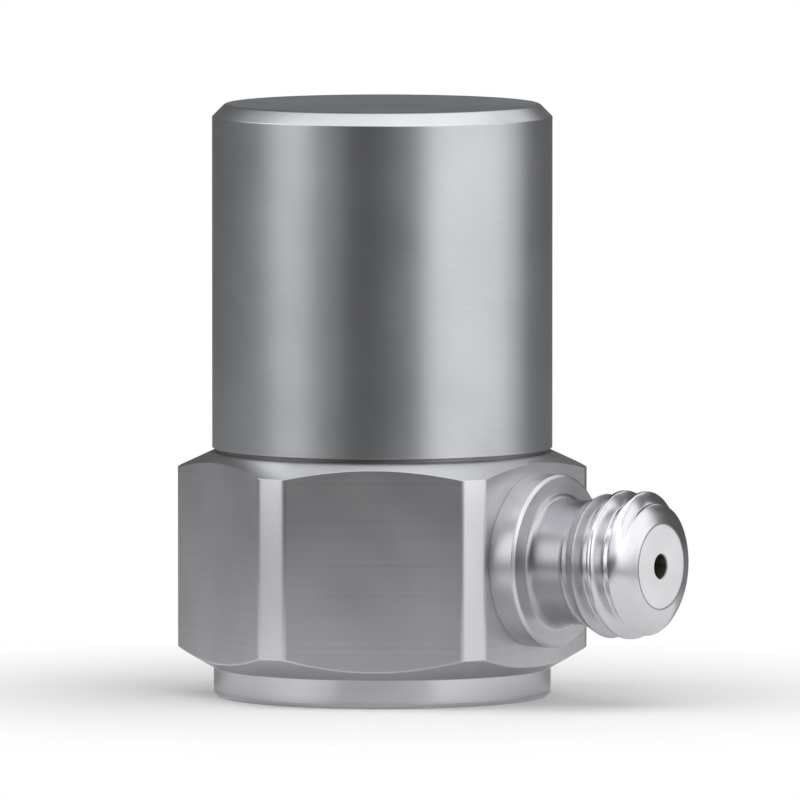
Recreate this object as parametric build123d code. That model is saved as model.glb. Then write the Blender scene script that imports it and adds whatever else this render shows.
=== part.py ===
from build123d import *

import math
import os

# Side-exit vibration sensor: a piezoelectric accelerometer with its amplifier inside.
# A hexagonal base carries a welded cup-shaped cover and, on one flat, a coaxial jack.
# Inside, three piezo plates stand between a triangular post and three seismic masses.
# A preload ring clamps the masses, and a round board above them holds the amplifier.
#
# Millimetres. Z is the sensing axis and points up from the mounting face at Z = 0.
# The jack points along +X.

# Hexagonal base
HEX_ACROSS_FLATS = 12.0
LAND_WIDTH = 0.95
LAND_HEIGHT = 5.865
FOOT_DIAMETER = 11.0
FOOT_HEIGHT = 0.92
FOOT_EDGE_BREAK = 0.12
LOWER_CHAMFER_ANGLE = 30.0
UPPER_CHAMFER_ANGLE = 25.0
JACK_FLAT_DEPTH = 0.07
JACK_RISE = 0.13

# Cover
COVER_DIAMETER = 11.1
COVER_HEIGHT = 11.35
COVER_WALL = 0.45
COVER_TOP_THICKNESS = 0.6
COVER_TOP_CHAMFER = 0.42
JOINT_GROOVE_HEIGHT = 0.125
JOINT_GROOVE_DEPTH = 0.12

# Spigot that centres the cover, and the pocket inside it
SPIGOT_HEIGHT = 1.2
SPIGOT_WALL = 0.5
SPIGOT_CLEARANCE = 0.03
POCKET_DEPTH = 0.7

# Mounting hole, a 10-32 thread drawn at its major diameter
THREAD_DIAMETER = 4.826
THREAD_CLEARANCE = 0.012
THREAD_DEPTH = 0.39
MOUNT_THREAD_DEPTH = 3.4
MOUNT_DRILL_RUNOUT = 0.5
MOUNT_COUNTERSINK = 0.25

# Jack shell, measured outward from its flat on the hexagon
FLANGE_DIAMETER = 5.64
FLANGE_THICKNESS = 0.93
FLANGE_EDGE_BREAK = 0.09
NECK_LENGTH = 1.22
NECK_FILLET = 0.25
JACK_THREAD_LENGTH = 1.87
JACK_THREAD_LEAD_IN = 0.3
NOSE_LENGTH = 0.8
NOSE_SHOULDER_LENGTH = 0.61
NOSE_SHOULDER_DROP = 0.315
NOSE_ROUND = 1.3
NOSE_RIM = 0.06
PLUG_DIAMETER = 3.8
PORT_CLEARANCE = 0.02

# Jack dielectric, contact and glass seal
INSULATOR_DIAMETER = 2.74
INSULATOR_LENGTH = 3.8
INSULATOR_RECESS = 0.02
CONTACT_RECESS = 0.04
CONTACT_MOUTH_WALL = 0.04
CONTACT_MOUTH_DEPTH = 0.6
CONTACT_MOUTH_STEP = 0.06
CONTACT_BORE_DIAMETER = 0.5
CONTACT_WALL = 0.17
CONTACT_BORE_DEPTH = 2.2
CONTACT_SLOT_WIDTH = 0.1
CONTACT_SLOT_DEPTH = 1.5
CONTACT_PIN_DIAMETER = 0.5
CONTACT_TAIL = 0.2
SEAL_DIAMETER = 2.3
SEAL_RECESS = 0.47

# Sensing element
DISC_LEAD_CLEARANCE = 0.3
DISC_THICKNESS = 0.6
POST_FLANGE_MARGIN = 0.15
POST_FLANGE_THICKNESS = 0.8
POST_APOTHEM = 1.45
POST_ROUND_DIAMETER = 4.4
POST_RISE = 0.6
PIEZO_SIDE_MARGIN = 0.2
PIEZO_HEIGHT = 4.0
PIEZO_THICKNESS = 0.55
MASS_GAP = 1.0
MASS_LIFT = 0.3
RING_THICKNESS = 0.35
RING_HEIGHT = 2.8

# Screw that holds the sensing element down
SCREW_DIAMETER = 1.6
SCREW_CLEARANCE = 0.05
SCREW_GRIP = 2.0
SCREW_HEAD_DIAMETER = 3.0
SCREW_HEAD_HEIGHT = 1.6
SCREW_SOCKET_ACROSS_FLATS = 1.5
SCREW_SOCKET_DEPTH = 0.7

# Amplifier board, the tube that carries it, and what is soldered on it
BOARD_THICKNESS = 0.6
BOARD_HEADROOM = 0.6
BOARD_EDGE_CLEARANCE = 0.2
SPACER_WALL = 0.45
SPACER_CLEARANCE = 0.1
CHIP_LENGTH = 2.9
CHIP_WIDTH = 1.7
CHIP_HEIGHT = 0.9
CHIP_STAND_OFF = 0.1
CHIP_LEAD_WIDTH = 0.4
CHIP_LEAD_REACH = 0.5
CHIP_LEAD_THICKNESS = 0.15
CHIP_LEAD_SPACING = 0.95
CHIP_LEAD_GAP = 0.25
RESISTOR_SIZE = (1.6, 0.8, 0.45)
CAPACITOR_SIZE = (2.0, 1.25, 0.8)
CAP_BAND = 0.3
CAP_BAND_RELIEF = 0.03
RESISTOR_PLACES = ((-2.5, -0.6), (2.5, -0.6))
CAPACITOR_PLACE = (0.0, -1.5)

# Leads
LEAD_DIAMETER = 0.3
LEAD_SIDE_CLEARANCE = 0.2
LEAD_STUB = 0.05
LEAD_PROUD = 0.15
LEAD_BEND_RADIUS = 0.5
LEAD_HOLE_CLEARANCE = 0.02
WIRE_HOLE_CLEARANCE = 0.2
PORT_END_WALL = 0.3
CHARGE_LEAD_RISE = 0.8
CHARGE_LEAD_RUN = 1.1
CHARGE_LEAD_INSET = 0.7

# Radii that follow from the sizes above
hex_apothem = HEX_ACROSS_FLATS / 2
jack_flat = hex_apothem - JACK_FLAT_DEPTH
half_flat_angle = math.pi / 6
land_radius = math.hypot(hex_apothem, (hex_apothem - LAND_WIDTH) * math.tan(half_flat_angle))
foot_radius = FOOT_DIAMETER / 2
cover_radius = COVER_DIAMETER / 2
cover_bore_radius = cover_radius - COVER_WALL
spigot_radius = cover_bore_radius - SPIGOT_CLEARANCE
pocket_radius = spigot_radius - SPIGOT_WALL
thread_radius = THREAD_DIAMETER / 2
thread_root_radius = thread_radius - THREAD_DEPTH
insulator_radius = INSULATOR_DIAMETER / 2
contact_radius = CONTACT_BORE_DIAMETER / 2 + CONTACT_WALL
spacer_radius = cover_bore_radius - SPACER_CLEARANCE
board_radius = cover_bore_radius - BOARD_EDGE_CLEARANCE
lead_radius = LEAD_DIAMETER / 2
lead_hole_radius = lead_radius + LEAD_HOLE_CLEARANCE
lead_circle_radius = spacer_radius - SPACER_WALL - LEAD_SIDE_CLEARANCE - lead_radius
wire_hole_radius = lead_radius + WIRE_HOLE_CLEARANCE
ring_radius = lead_circle_radius - lead_radius - LEAD_SIDE_CLEARANCE
mass_radius = ring_radius - RING_THICKNESS
mass_chord = POST_APOTHEM + PIEZO_THICKNESS
half_slot_angle = math.pi / 6
post_radius = POST_ROUND_DIAMETER / 2
post_flat_width = 2 * math.sqrt(post_radius**2 - POST_APOTHEM**2)
post_hole_radius = SCREW_DIAMETER / 2 + SCREW_CLEARANCE
disc_radius = lead_circle_radius - lead_radius - DISC_LEAD_CLEARANCE
charge_start = ring_radius - RING_THICKNESS / 2
charge_end = charge_start - CHARGE_LEAD_INSET

# Heights above the mounting face
land_bottom = FOOT_HEIGHT + (land_radius - foot_radius) * math.tan(math.radians(LOWER_CHAMFER_ANGLE))
land_top = land_bottom + LAND_HEIGHT
seat_height = land_top + (land_radius - cover_radius) * math.tan(math.radians(UPPER_CHAMFER_ANGLE))
jack_height = (land_bottom + land_top) / 2 + JACK_RISE
spigot_top = seat_height + SPIGOT_HEIGHT
cover_top = seat_height + COVER_HEIGHT
pocket_floor = seat_height - POCKET_DEPTH
disc_top = pocket_floor + DISC_THICKNESS
flange_top = disc_top + POST_FLANGE_THICKNESS
mass_bottom = flange_top + MASS_LIFT
mass_top = mass_bottom + PIEZO_HEIGHT
post_top = mass_top + POST_RISE
ring_bottom = mass_bottom + (PIEZO_HEIGHT - RING_HEIGHT) / 2
ring_top = ring_bottom + RING_HEIGHT
screw_head_top = post_top + SCREW_HEAD_HEIGHT
board_bottom = screw_head_top + BOARD_HEADROOM
board_top = board_bottom + BOARD_THICKNESS
lead_top = board_top + LEAD_PROUD

# Stations along the jack's axis, from its flat outward
neck_end = FLANGE_THICKNESS + NECK_LENGTH
thread_end = neck_end + JACK_THREAD_LENGTH
nose_shoulder = thread_end + NOSE_SHOULDER_LENGTH
nose = thread_end + NOSE_LENGTH
insulator_front = nose - INSULATOR_RECESS
insulator_back = insulator_front - INSULATOR_LENGTH
contact_front = insulator_front - CONTACT_RECESS
contact_step = contact_front - CONTACT_MOUTH_DEPTH
tail_end = lead_circle_radius + LEAD_BEND_RADIUS + LEAD_STUB - jack_flat
plug_end = tail_end + CONTACT_TAIL
seal_back = plug_end + SEAL_RECESS
port_end = lead_circle_radius - wire_hole_radius - PORT_END_WALL - jack_flat

# From a part drawn about Z, with the flat at Z = 0, to the jack's place on the base
jack_place = Pos(jack_flat, 0, jack_height) * Rot(0, 90, 0)


def turned(outline, rounds=()):
    """A closed outline of (radius, height) points spun about Z. Rounds are (corner, radius)."""
    face = make_face(Polyline(*outline, close=True))
    for corner, radius in rounds:
        vertex = face.vertices().sort_by_distance(Vertex(*corner, 0))[0]
        face = fillet(vertex, radius)
    return revolve(Plane.XZ * face, Axis.Z)


def drum(radius, bottom, top, x=0.0, y=0.0):
    """An upright cylinder from one height to another."""
    return Pos(x, y, (bottom + top) / 2) * Cylinder(radius, top - bottom)


def block(length, width, bottom, top, x=0.0, y=0.0):
    """An upright box from one height to another, centred on x and y."""
    return Pos(x, y, (bottom + top) / 2) * Box(length, width, top - bottom)


def hexagonal_block():
    """The wrench hexagon: flats milled on a turned bar, with a chamfer cone at each end.
    The flat that carries the jack is milled a little deeper than the others."""
    bar = turned([
        (0, FOOT_HEIGHT),
        (foot_radius, FOOT_HEIGHT),
        (land_radius, land_bottom),
        (land_radius, land_top),
        (cover_radius, seat_height),
        (0, seat_height),
    ])
    hexagon = RegularPolygon(hex_apothem, 6, major_radius=False, rotation=30)
    deeper_cut = block(JACK_FLAT_DEPTH, HEX_ACROSS_FLATS, 0, cover_top, x=hex_apothem - JACK_FLAT_DEPTH / 2)
    return bar & extrude(hexagon, cover_top) - deeper_cut


def mounting_hole():
    """The blind threaded hole in the foot, with its countersink and its drilled run-out."""
    hole_radius = thread_radius + THREAD_CLEARANCE
    drill_end = MOUNT_THREAD_DEPTH + MOUNT_DRILL_RUNOUT
    return turned([
        (0, 0),
        (hole_radius + MOUNT_COUNTERSINK, 0),
        (hole_radius, MOUNT_COUNTERSINK),
        (hole_radius, MOUNT_THREAD_DEPTH),
        (thread_root_radius, MOUNT_THREAD_DEPTH),
        (thread_root_radius, drill_end),
        (0, drill_end),
    ])


def housing_base():
    """Foot, hexagon and cover spigot in one piece, bored for the stud, the jack and the leads."""
    foot = turned([
        (0, 0),
        (foot_radius - FOOT_EDGE_BREAK, 0),
        (foot_radius, FOOT_EDGE_BREAK),
        (foot_radius, FOOT_HEIGHT),
        (0, FOOT_HEIGHT),
    ])
    spigot = drum(spigot_radius, seat_height, spigot_top)
    pocket = drum(pocket_radius, pocket_floor, spigot_top)
    screw_hole = drum(SCREW_DIAMETER / 2, pocket_floor - SCREW_GRIP, pocket_floor)
    wire_hole = drum(wire_hole_radius, jack_height, pocket_floor, x=lead_circle_radius)
    port = jack_place * drum(PLUG_DIAMETER / 2 + PORT_CLEARANCE, port_end, 0)
    return foot + hexagonal_block() + spigot - pocket - screw_hole - wire_hole - port - mounting_hole()


def case_cover():
    """The closed cup that is welded to the base in a narrow groove round its rim."""
    rim_radius = cover_radius - JOINT_GROOVE_DEPTH
    rim_top = seat_height + JOINT_GROOVE_HEIGHT
    return turned([
        (cover_bore_radius, seat_height),
        (rim_radius, seat_height),
        (rim_radius, rim_top),
        (cover_radius, rim_top),
        (cover_radius, cover_top - COVER_TOP_CHAMFER),
        (cover_radius - COVER_TOP_CHAMFER, cover_top),
        (0, cover_top),
        (0, cover_top - COVER_TOP_THICKNESS),
        (cover_bore_radius, cover_top - COVER_TOP_THICKNESS),
    ])


def connector_shell():
    """The jack's turned shell: press-in plug, weld flange, neck, threaded barrel and nose."""
    flange_radius = FLANGE_DIAMETER / 2
    plug_radius = PLUG_DIAMETER / 2
    seal_radius = SEAL_DIAMETER / 2
    shoulder_radius = thread_radius - NOSE_SHOULDER_DROP
    return jack_place * turned(
        [
            (seal_radius, plug_end),
            (plug_radius, plug_end),
            (plug_radius, 0),
            (flange_radius, 0),
            (flange_radius, FLANGE_THICKNESS - FLANGE_EDGE_BREAK),
            (flange_radius - FLANGE_EDGE_BREAK, FLANGE_THICKNESS),
            (thread_root_radius, FLANGE_THICKNESS),
            (thread_root_radius, neck_end),
            (thread_radius, neck_end + JACK_THREAD_LEAD_IN),
            (thread_radius, thread_end),
            (shoulder_radius, nose_shoulder),
            (insulator_radius + NOSE_RIM, nose),
            (insulator_radius, nose),
            (insulator_radius, insulator_back),
            (seal_radius, insulator_back),
        ],
        rounds=[
            ((thread_root_radius, FLANGE_THICKNESS), NECK_FILLET),
            ((shoulder_radius, nose_shoulder), NOSE_ROUND),
        ],
    )


def connector_insulator():
    """The white dielectric that fills the barrel round the contact."""
    return jack_place * turned([
        (contact_radius, insulator_back),
        (insulator_radius, insulator_back),
        (insulator_radius, insulator_front),
        (contact_radius, insulator_front),
    ])


def contact_socket():
    """The centre contact: a slotted socket with a tapered mouth, and a pin through the seal behind."""
    mouth_radius = contact_radius - CONTACT_MOUTH_WALL
    bore_radius = CONTACT_BORE_DIAMETER / 2
    bore_end = contact_step - CONTACT_BORE_DEPTH
    body = turned([
        (0, tail_end),
        (CONTACT_PIN_DIAMETER / 2, tail_end),
        (CONTACT_PIN_DIAMETER / 2, insulator_back),
        (contact_radius, insulator_back),
        (contact_radius, contact_front),
        (mouth_radius, contact_front),
        (bore_radius + CONTACT_MOUTH_STEP, contact_step),
        (bore_radius, contact_step),
        (bore_radius, bore_end),
        (0, bore_end),
    ])
    slot = block(
        4 * contact_radius,
        CONTACT_SLOT_WIDTH,
        contact_front - CONTACT_SLOT_DEPTH,
        contact_front,
    )
    return jack_place * (body - slot)


def glass_seal():
    """The glass bead that seals the contact's pin in the shell."""
    return jack_place * turned([
        (CONTACT_PIN_DIAMETER / 2, seal_back),
        (SEAL_DIAMETER / 2, seal_back),
        (SEAL_DIAMETER / 2, insulator_back),
        (CONTACT_PIN_DIAMETER / 2, insulator_back),
    ])


def insulation_disc():
    """The ceramic disc between the base and the post."""
    hole = drum(post_hole_radius, pocket_floor, disc_top)
    return drum(disc_radius, pocket_floor, disc_top) - hole


def centre_post():
    """A flange with a three-sided column, one flat for each piezo plate."""
    section = RegularPolygon(POST_APOTHEM, 3, major_radius=False, rotation=60)
    section = section & Circle(post_radius)
    column = Pos(0, 0, flange_top) * extrude(section, post_top - flange_top)
    flange = drum(disc_radius - POST_FLANGE_MARGIN, disc_top, flange_top)
    return flange + column - drum(post_hole_radius, disc_top, post_top)


def piezo_plate(angle):
    """One piezo ceramic plate, flat against the post."""
    x = POST_APOTHEM + PIEZO_THICKNESS / 2
    width = post_flat_width - 2 * PIEZO_SIDE_MARGIN
    return Rot(0, 0, angle) * block(PIEZO_THICKNESS, width, mass_bottom, mass_top, x=x)


def seismic_mass(angle):
    """One heavy segment, flat against its plate and round outside, with a slot each side of it."""
    inner_edge = mass_chord / math.tan(half_slot_angle) - MASS_GAP
    outer_edge = mass_radius / math.tan(half_slot_angle) - MASS_GAP
    sector = make_face(
        Polyline(
            (mass_chord, -inner_edge),
            (mass_radius, -outer_edge),
            (mass_radius, outer_edge),
            (mass_chord, inner_edge),
            close=True,
        )
    )
    section = sector & Circle(mass_radius)
    return Rot(0, 0, angle) * Pos(0, 0, mass_bottom) * extrude(section, PIEZO_HEIGHT)


def preload_ring():
    """The shrunk ring that clamps the masses and plates on the post."""
    return drum(ring_radius, ring_bottom, ring_top) - drum(mass_radius, ring_bottom, ring_top)


def clamp_screw():
    """The socket screw down the middle of the post."""
    head = drum(SCREW_HEAD_DIAMETER / 2, post_top, screw_head_top)
    shank = drum(SCREW_DIAMETER / 2, pocket_floor - SCREW_GRIP, post_top)
    hexagon = RegularPolygon(SCREW_SOCKET_ACROSS_FLATS / 2, 6, major_radius=False)
    socket = Pos(0, 0, screw_head_top - SCREW_SOCKET_DEPTH) * extrude(hexagon, SCREW_SOCKET_DEPTH)
    return head + shank - socket


def board_spacer():
    """The plastic tube that stands on the spigot and carries the board."""
    tube = drum(spacer_radius, spigot_top, board_bottom)
    return tube - drum(spacer_radius - SPACER_WALL, spigot_top, board_bottom)


def lead_ends():
    """Where each lead comes up through the board, as (x, y)."""
    return [(lead_circle_radius, 0), (-lead_circle_radius, 0), (0, charge_end)]


def amplifier_board():
    """The round circuit board, drilled for the three leads."""
    board = drum(board_radius, board_bottom, board_top)
    for x, y in lead_ends():
        board -= drum(lead_hole_radius, board_bottom, board_top, x=x, y=y)
    return board


def amplifier_chip():
    """The amplifier's moulded package with its three bent leads."""
    y = charge_end - lead_hole_radius - CHIP_LEAD_GAP - CHIP_LEAD_REACH - CHIP_WIDTH / 2
    body_bottom = board_top + CHIP_STAND_OFF
    chip = block(CHIP_LENGTH, CHIP_WIDTH, body_bottom, board_top + CHIP_HEIGHT, y=y)
    places = [(-CHIP_LEAD_SPACING, -1), (CHIP_LEAD_SPACING, -1), (0, 1)]
    for along, side in places:
        foot_y = y + side * (CHIP_WIDTH + CHIP_LEAD_REACH) / 2
        chip += block(
            CHIP_LEAD_WIDTH,
            CHIP_LEAD_REACH,
            board_top,
            board_top + CHIP_LEAD_THICKNESS,
            x=along,
            y=foot_y,
        )
        riser_y = y + side * (CHIP_WIDTH + CHIP_LEAD_THICKNESS) / 2
        chip += block(
            CHIP_LEAD_WIDTH,
            CHIP_LEAD_THICKNESS,
            board_top,
            board_top + CHIP_HEIGHT / 2,
            x=along,
            y=riser_y,
        )
    return chip


def chip_component(size, place):
    """A surface-mount resistor or capacitor: a body with a metal band round each end."""
    length, width, height = size
    x, y = place
    body = block(
        length,
        width - 2 * CAP_BAND_RELIEF,
        board_top + CAP_BAND_RELIEF,
        board_top + height - CAP_BAND_RELIEF,
        x=x,
        y=y,
    )
    for side in (-1, 1):
        band_x = x + side * (length - CAP_BAND) / 2
        body += block(CAP_BAND, width, board_top, board_top + height, x=band_x, y=y)
    return body


def lead(*points):
    """A round insulated lead: straight runs joined by tangent arcs."""
    path = FilletPolyline(*points, radius=LEAD_BEND_RADIUS) if len(points) > 2 else Line(*points)
    section = Plane(path @ 0, z_dir=path % 0) * Circle(lead_radius)
    return sweep(section, path)


def output_lead():
    """From the contact's tail up to the board."""
    tail_x = jack_flat + tail_end
    return lead(
        (tail_x, 0, jack_height),
        (lead_circle_radius, 0, jack_height),
        (lead_circle_radius, 0, lead_top),
    )


def ground_lead():
    """From the floor of the pocket up to the board."""
    return lead((-lead_circle_radius, 0, pocket_floor), (-lead_circle_radius, 0, lead_top))


def charge_lead():
    """From the preload ring up to the board, with a bend that spares it strain."""
    bend = ring_top + CHARGE_LEAD_RISE
    return lead(
        (0, charge_start, ring_top),
        (0, charge_start, bend),
        (0, charge_end, bend + CHARGE_LEAD_RUN),
        (0, charge_end, lead_top),
    )


parts = {
    "housing_base": housing_base(),
    "case_cover": case_cover(),
    "connector_shell": connector_shell(),
    "connector_insulator": connector_insulator(),
    "contact_socket": contact_socket(),
    "glass_seal": glass_seal(),
    "insulation_disc": insulation_disc(),
    "centre_post": centre_post(),
    "preload_ring": preload_ring(),
    "clamp_screw": clamp_screw(),
    "board_spacer": board_spacer(),
    "amplifier_board": amplifier_board(),
    "amplifier_chip": amplifier_chip(),
    "feedback_capacitor": chip_component(CAPACITOR_SIZE, CAPACITOR_PLACE),
    "output_lead": output_lead(),
    "ground_lead": ground_lead(),
    "charge_lead": charge_lead(),
}
for number, angle in enumerate((0, 120, 240), start=1):
    parts[f"piezo_plate_{number}"] = piezo_plate(angle)
    parts[f"seismic_mass_{number}"] = seismic_mass(angle)
for number, place in enumerate(RESISTOR_PLACES, start=1):
    parts[f"bias_resistor_{number}"] = chip_component(RESISTOR_SIZE, place)

os.makedirs("parts", exist_ok=True)
for name, solid in parts.items():
    export_step(solid, f"parts/{name}.step")
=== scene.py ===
"""A side-exit vibration sensor in satin stainless steel, on a pale studio floor.

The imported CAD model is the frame. The base, cover and jack are rebuilt here with broken edges
and true thread turns, in the CAD's own places, and every other node keeps its CAD shape.
"""

from __future__ import annotations

import logging
import math
from dataclasses import dataclass, field
from enum import Enum
from typing import Callable, Sequence

import bmesh
import bpy
from mathutils import Matrix, Vector


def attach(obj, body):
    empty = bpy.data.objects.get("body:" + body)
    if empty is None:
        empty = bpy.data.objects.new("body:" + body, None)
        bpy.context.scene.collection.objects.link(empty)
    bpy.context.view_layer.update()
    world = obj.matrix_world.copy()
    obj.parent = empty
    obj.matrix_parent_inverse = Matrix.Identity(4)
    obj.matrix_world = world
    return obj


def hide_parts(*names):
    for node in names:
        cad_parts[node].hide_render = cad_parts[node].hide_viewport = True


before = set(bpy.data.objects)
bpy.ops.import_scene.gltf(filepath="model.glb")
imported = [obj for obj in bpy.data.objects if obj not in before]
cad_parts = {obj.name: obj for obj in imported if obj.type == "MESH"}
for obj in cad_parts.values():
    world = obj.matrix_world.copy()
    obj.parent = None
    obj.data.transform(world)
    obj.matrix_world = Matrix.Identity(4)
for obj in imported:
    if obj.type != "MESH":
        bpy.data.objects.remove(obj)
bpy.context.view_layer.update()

MM = 0.001
MATT_ROUGHNESS = 0.9
log = logging.getLogger("sensor")

BMesh = bmesh.types.BMesh
Node = bpy.types.Node
Object = bpy.types.Object
Socket = bpy.types.NodeSocket
Tree = bpy.types.NodeTree
Inputs = dict[str | int, object]
Corner = tuple[float, float, float]
Point = tuple[float, float]
Span = tuple[float, float]


# Small tools for meshes and node trees


def linear(code: str) -> tuple[float, float, float, float]:
    """Turns an sRGB hex colour into the linear colour that a shader takes.

    Args:
        code: Six hex digits, such as "c8cacd".

    Returns:
        Linear red, green and blue with an alpha of 1.
    """
    shares = [int(code[i : i + 2], 16) / 255 for i in (0, 2, 4)]
    red, green, blue = (s / 12.92 if s <= 0.04045 else ((s + 0.055) / 1.055) ** 2.4 for s in shares)
    return red, green, blue, 1.0


def feed(node: Node, inputs: Inputs) -> None:
    """Sets inputs of a node.

    Args:
        node: The node.
        inputs: For each input's name or number, its value, or what to link from: a socket, or a
            node for its first output.
    """
    for key, value in inputs.items():
        source = value.outputs[0] if isinstance(value, Node) else value
        if isinstance(source, Socket):
            node.id_data.links.new(source, node.inputs[key])
        else:
            node.inputs[key].default_value = source


def add_node(tree: Tree, kind: str, inputs: Inputs | None = None, **settings: object) -> Node:
    """Adds one node with its settings, its input values and its links.

    Args:
        tree: The node tree that the node goes into.
        kind: The node's type, without the leading "ShaderNode".
        inputs: The node's inputs, as feed takes them.
        **settings: The node's own properties.

    Returns:
        The new node.
    """
    node = tree.nodes.new(f"ShaderNode{kind}")
    for name, value in settings.items():
        setattr(node, name, value)
    feed(node, inputs or {})
    return node


def reckon(tree: Tree, operation: str, *values: object) -> Node:
    """Adds a Math node, with its values, or what to link from, in order."""
    return add_node(tree, "Math", dict(enumerate(values)), operation=operation)


def noise(tree: Tree, place: Socket, size: float, detail: float, roughness: float = 0.5) -> Node:
    """Adds a noise pattern, of a size in mm, over the object coordinates."""
    look = {"Vector": place, "Scale": 1 / (size * MM), "Detail": detail, "Roughness": roughness}
    return add_node(tree, "TexNoise", look)


def new_material(name: str) -> tuple[bpy.types.Material, Tree, Node]:
    """Starts a material, and gives it with its node tree and its shader."""
    material = bpy.data.materials.new(name)
    material.use_nodes = True
    tree = material.node_tree
    return material, tree, tree.nodes["Principled BSDF"]


def new_object(name: str, bm: BMesh) -> Object:
    """Puts a mesh into the scene as an object of the same name, and frees it."""
    mesh = bpy.data.meshes.new(name)
    bm.to_mesh(mesh)
    bm.free()
    thing = bpy.data.objects.new(name, mesh)
    bpy.context.scene.collection.objects.link(thing)
    return thing


def polar(radius: float, angle: float, height: float) -> Vector:
    """Gives the point at a radius and an angle about Z, and at a height."""
    return Vector((radius * math.cos(angle), radius * math.sin(angle), height))


def rounded(corners: Sequence[Corner], steps: int = 4) -> list[Point]:
    """Draws an outline through corners, with an arc in place of each rounded one.

    Args:
        corners: Each corner's radius and height in mm, and the radius of its rounding.
        steps: The number of chords in each arc.

    Returns:
        The outline's points as (radius, height) in mm.
    """
    points: list[Point] = []
    for i, (r, z, fillet) in enumerate(corners):
        if fillet <= 0 or i in (0, len(corners) - 1):
            points.append((r, z))
            continue
        here = Vector((r, z))
        back = (Vector(corners[i - 1][:2]) - here).normalized()
        ahead = (Vector(corners[i + 1][:2]) - here).normalized()
        half = back.angle(ahead) / 2
        middle = here + (back + ahead).normalized() * (fillet / math.sin(half))
        start = here + back * (fillet / math.tan(half)) - middle
        end = here + ahead * (fillet / math.tan(half)) - middle
        sweep = start.angle(end)
        for step in range(steps + 1):
            share = step / steps
            arm = (start * math.sin((1 - share) * sweep) + end * math.sin(share * sweep)) / math.sin(sweep)
            points.append(tuple(middle + arm))
    return points


def new_piece(
    name: str,
    bm: BMesh,
    finishes: Sequence[Finish],
    place: Matrix | None = None,
    crease: float = 35.0,
) -> Object:
    """Makes a piece of a mesh in mm, smooth but for its hard creases.

    Args:
        name: The piece's name.
        bm: The mesh in millimetres, which is freed.
        finishes: The finish of each of its material slots.
        place: Where the mesh goes in the frame, in millimetres.
        crease: Edges that turn by more than this, in degrees, stay sharp.

    Returns:
        The new object, with its place in its mesh.
    """
    bmesh.ops.recalc_face_normals(bm, faces=bm.faces)
    for edge in bm.edges:
        edge.smooth = edge.is_manifold and edge.calc_face_angle(0.0) < math.radians(crease)
    for face in bm.faces:
        face.smooth = True
    bm.transform(Matrix.Scale(MM, 4) @ (place or Matrix.Identity(4)))
    piece = new_object(name, bm)
    weighted = piece.modifiers.new("even_shading", "WEIGHTED_NORMAL")
    weighted.mode = "FACE_AREA"
    weighted.weight = 80
    weighted.keep_sharp = True
    for finish in finishes:
        piece.data.materials.append(finish.make())
    return piece


def ring_grid(bm: BMesh, rings: Sequence[Sequence[Vector]], closed: bool = False) -> None:
    """Skins a row of rings that have the same number of points.

    Args:
        bm: The mesh that the faces go into.
        rings: The rings in order. A ring of one point is a pole.
        closed: True where the last ring joins the first.
    """
    made = [[bm.verts.new(p) for p in ring] for ring in rings]
    for low, high in zip(made, made[1:] + made[:1] if closed else made[1:]):
        count = max(len(low), len(high))
        for i in range(count if count > 1 else 0):
            j = (i + 1) % count
            corners = [low[i % len(low)], low[j % len(low)], high[j % len(high)], high[i % len(high)]]
            bm.faces.new(dict.fromkeys(corners))


def spun(
    outline: Sequence[Point],
    segments: int = 256,
    trim: Callable[[float, float, float], float] | None = None,
    closed: bool = True,
) -> BMesh:
    """Spins an outline about Z.

    Args:
        outline: Points as (radius, height) in mm.
        segments: The number of chords round the axis.
        trim: Gives the radius there from the radius, the height and the angle.
        closed: True where the outline's last point joins its first.

    Returns:
        The mesh in millimetres.
    """
    bm = bmesh.new()
    rings = []
    for r, z in outline:
        if r <= 0:
            rings.append([Vector((0, 0, z))])
            continue
        angles = (math.tau * i / segments for i in range(segments))
        rings.append([polar(trim(r, z, a) if trim else r, a, z) for a in angles])
    ring_grid(bm, rings, closed)
    return bm


def stepped(start: Point, end: Point, step: float) -> list[Point]:
    """Divides a straight run of an outline into short steps, without its last point.

    Args:
        start: Where the run starts.
        end: Where it ends.
        step: The longest step in mm.

    Returns:
        The points from the start on.
    """
    count = max(1, math.ceil(math.dist(start, end) / step))
    across, along = end[0] - start[0], end[1] - start[1]
    return [(start[0] + across * i / count, start[1] + along * i / count) for i in range(count)]


def drill(radius: float, length: float, segments: int = 96) -> BMesh:
    """Makes a drill that stands on the floor along Z.

    Args:
        radius: The drill's radius in mm.
        length: Its length in mm.
        segments: The number of chords round it.

    Returns:
        A closed cylinder in millimetres.
    """
    return spun([(0.0, 0.0), (radius, 0.0), (radius, length), (0.0, length)], segments, closed=False)


def bored(bm: BMesh, drills: Sequence[BMesh]) -> BMesh:
    """Cuts drills out of a mesh, one after another.

    Args:
        bm: The mesh in millimetres, which is freed.
        drills: The cylinders to cut away, which are freed too.

    Returns:
        The mesh with its holes, in millimetres.
    """
    scratch = []
    for i, shape in enumerate((bm, *drills)):
        bmesh.ops.recalc_face_normals(shape, faces=shape.faces)
        scratch.append(new_object(f"boring_{i}", shape))
    for tool in scratch[1:]:
        cut = scratch[0].modifiers.new(tool.name, "BOOLEAN")
        cut.operation, cut.solver, cut.object = "DIFFERENCE", "EXACT", tool
    result = bmesh.new()
    result.from_object(scratch[0], bpy.context.evaluated_depsgraph_get())
    for tool in scratch:
        mesh = tool.data
        bpy.data.objects.remove(tool)
        bpy.data.meshes.remove(mesh)
    return result


# Finishes
#
# A pixel of the render shows 0.033 mm. A finishing cut leaves marks 0.02 to 0.1 mm apart, and grain
# and grit are finer still, so the patterns are drawn 0.05 to 0.4 mm wide, coarse enough to show.


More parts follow.
